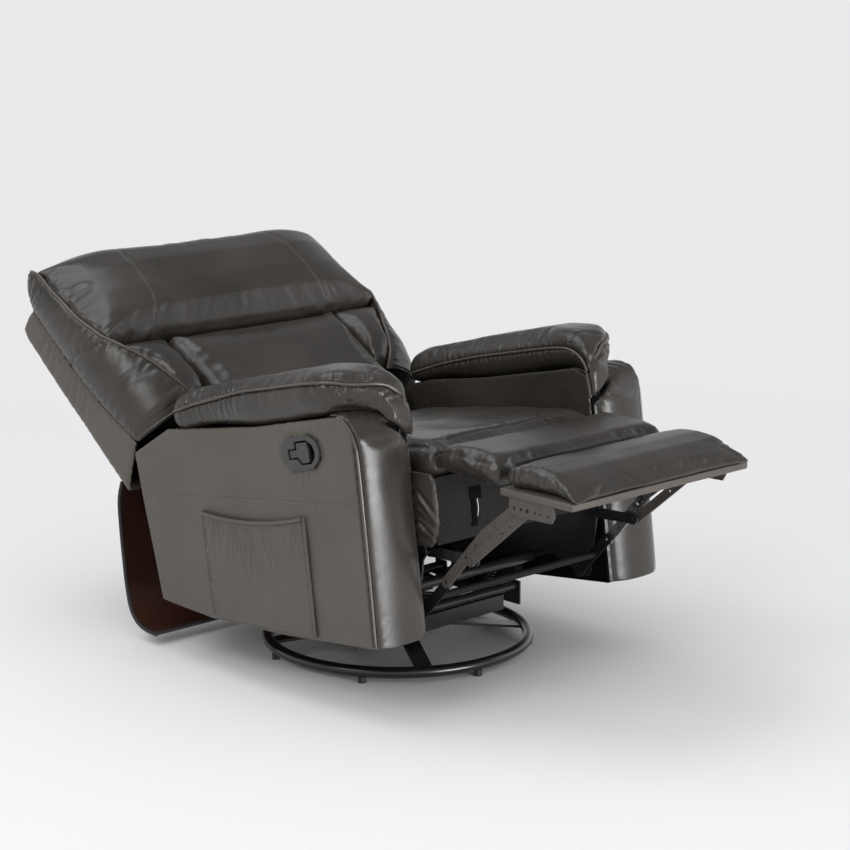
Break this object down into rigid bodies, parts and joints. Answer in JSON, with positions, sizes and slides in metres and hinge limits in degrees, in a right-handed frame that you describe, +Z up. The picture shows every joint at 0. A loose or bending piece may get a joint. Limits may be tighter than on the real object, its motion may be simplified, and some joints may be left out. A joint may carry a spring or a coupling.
{
  "type": "swivel rocker recliner",
  "caption": "Leather-covered recliner on a swivel rocker base, shown rocked back with its back lowered and footrest out.",
  "frame": {"origin": "on the floor, on the swivel axis", "axes": "+Z up along the swivel axis, -Y the way the sitter faces, -X the sitter's right, where the release handle is"},
  "size_m": [0.8577, 1.5641, 0.8271],
  "materials": {
    "black_steel": "satin black enamel",
    "link_steel": "satin warm grey enamel",
    "spring_steel": "bright zinc",
    "glide_plastic": "matte",
    "leather": "semi-gloss, fine grain",
    "wood": "raw",
    "lining": "non-woven, matte",
    "hardboard": "raw brown inside, covered outside",
    "dark_plastic": "fine texture",
    "cable_jacket": "matte"
  },
  "bodies": {
    "base": {"base_ring": "black_steel", "base_spider": "black_steel", "base_glides": "glide_plastic", "swivel_lower_plate": "black_steel", "king_bolt": "spring_steel"},
    "turret": {"swivel_bearing": "spring_steel", "swivel_upper_plate": "black_steel", "turret_rail_front": "black_steel", "turret_rail_rear": "black_steel", "turret_tubes": "black_steel", "rocker_rail_left": "black_steel", "rocker_rail_right": "black_steel"},
    "carriage": {"rocker_cam_left": "black_steel", "rocker_cam_right": "black_steel", "rocker_springs": "spring_steel", "side_plate_left": "black_steel", "side_plate_right": "black_steel", "front_cross_tube": "black_steel", "rear_cross_tube": "black_steel", "seat_rail_left": "wood", "seat_rail_right": "wood", "seat_rail_front": "wood", "seat_rail_rear": "wood", "seat_front_board": "lining", "seat_springs": "spring_steel", "seat_cushion": "leather", "arm_frame_left": "wood", "arm_frame_right": "wood", "arm_side_panel_left": "leather", "arm_side_panel_right": "leather", "arm_front_panel_left": "leather", "arm_front_panel_right": "leather", "arm_pad_left": "leather", "arm_pad_right": "leather", "arm_pocket": "leather", "handle_bezel": "dark_plastic", "release_cable": "cable_jacket", "plate_pins": "spring_steel", "chaise_flap": "leather"},
    "release_lever": {"release_handle": "dark_plastic"},
    "back": {"back_shell": "leather", "head_pillow": "leather", "lumbar_cushion": "leather", "back_bolster_left": "leather", "back_bolster_right": "leather", "back_stile_left": "wood", "back_stile_right": "wood", "back_rail_top": "wood", "back_rail_bottom": "wood", "back_bracket_left": "black_steel", "back_bracket_right": "black_steel"},
    "apron": {"rear_apron": "hardboard"},
    "drive_links": {"drive_links": "black_steel"},
    "rear_links": {"rear_links": "black_steel"},
    "long_links": {"long_link_left": "link_steel", "long_link_right": "link_steel"},
    "short_links": {"short_links": "link_steel"},
    "ottoman": {"ottoman_board": "wood", "ottoman_brackets": "link_steel", "ottoman_pad": "leather"}
  },
  "joints": [
    {"name": "swivel", "type": "hinge", "parent": "base", "child": "turret", "pos_m": [0, 0, 0], "axis": [0, 0, 1], "continuous": true},
    {"name": "rock", "type": "hinge", "parent": "turret", "child": "carriage", "pos_m": [0, 0, 0.366], "axis": [1, 0, 0], "range_deg": [-1.5, 14], "stiffness_Nm_per_rad": 600, "springref_deg": 8.02, "deforming": ["rocker_springs"]},
    {"name": "lever_pull", "type": "hinge", "parent": "carriage", "child": "release_lever", "pos_m": [-0.4195, -0.13537, 0.51911], "axis": [0, -0.2436, -0.9699], "range_deg": [0, 25], "stiffness_Nm_per_rad": 0.8, "springref_deg": -8.59},
    {"name": "recline", "type": "hinge", "parent": "carriage", "child": "back", "pos_m": [0, 0.25433, 0.43854], "axis": [1, 0, 0], "range_deg": [0, 33]},
    {"name": "apron_fold", "type": "hinge", "parent": "back", "child": "apron", "pos_m": [0, 0.45901, 0.35082], "axis": [1, 0, 0], "range_deg": [-36.4, 0.1]},
    {"name": "footrest_open", "type": "hinge", "parent": "carriage", "child": "drive_links", "pos_m": [0, -0.32121, 0.18238], "axis": [1, 0, 0], "range_deg": [0, 43.95], "deforming": ["chaise_flap"]},
    {"name": "long_link_turn", "type": "hinge", "parent": "drive_links", "child": "long_links", "pos_m": [0, -0.40093, 0.27019], "axis": [1, 0, 0], "range_deg": [-97.2, 0.2]},
    {"name": "ottoman_turn", "type": "hinge", "parent": "long_links", "child": "ottoman", "pos_m": [0, -0.60171, 0.4634], "axis": [1, 0, 0], "range_deg": [-0.2, 136.3]},
    {"name": "short_link_turn", "type": "hinge", "parent": "ottoman", "child": "short_links", "pos_m": [0, -0.63571, 0.4634], "axis": [1, 0, 0], "range_deg": [-137.3, 0.2]},
    {"name": "rear_link_turn", "type": "hinge", "parent": "carriage", "child": "rear_links", "pos_m": [0, -0.34668, 0.32347], "axis": [1, 0, 0], "range_deg": [-0.2, 53.8]}
  ],
  "couplings": [
    {"joint": "apron_fold", "follows": "recline", "ratio": -1.1},
    {"joint": "long_link_turn", "follows": "footrest_open", "ratio": -2.2052},
    {"joint": "ottoman_turn", "follows": "footrest_open", "ratio": 3.0926},
    {"joint": "short_link_turn", "follows": "footrest_open", "ratio": -3.1149},
    {"joint": "rear_link_turn", "follows": "footrest_open", "ratio": 1.2173}
  ]
}
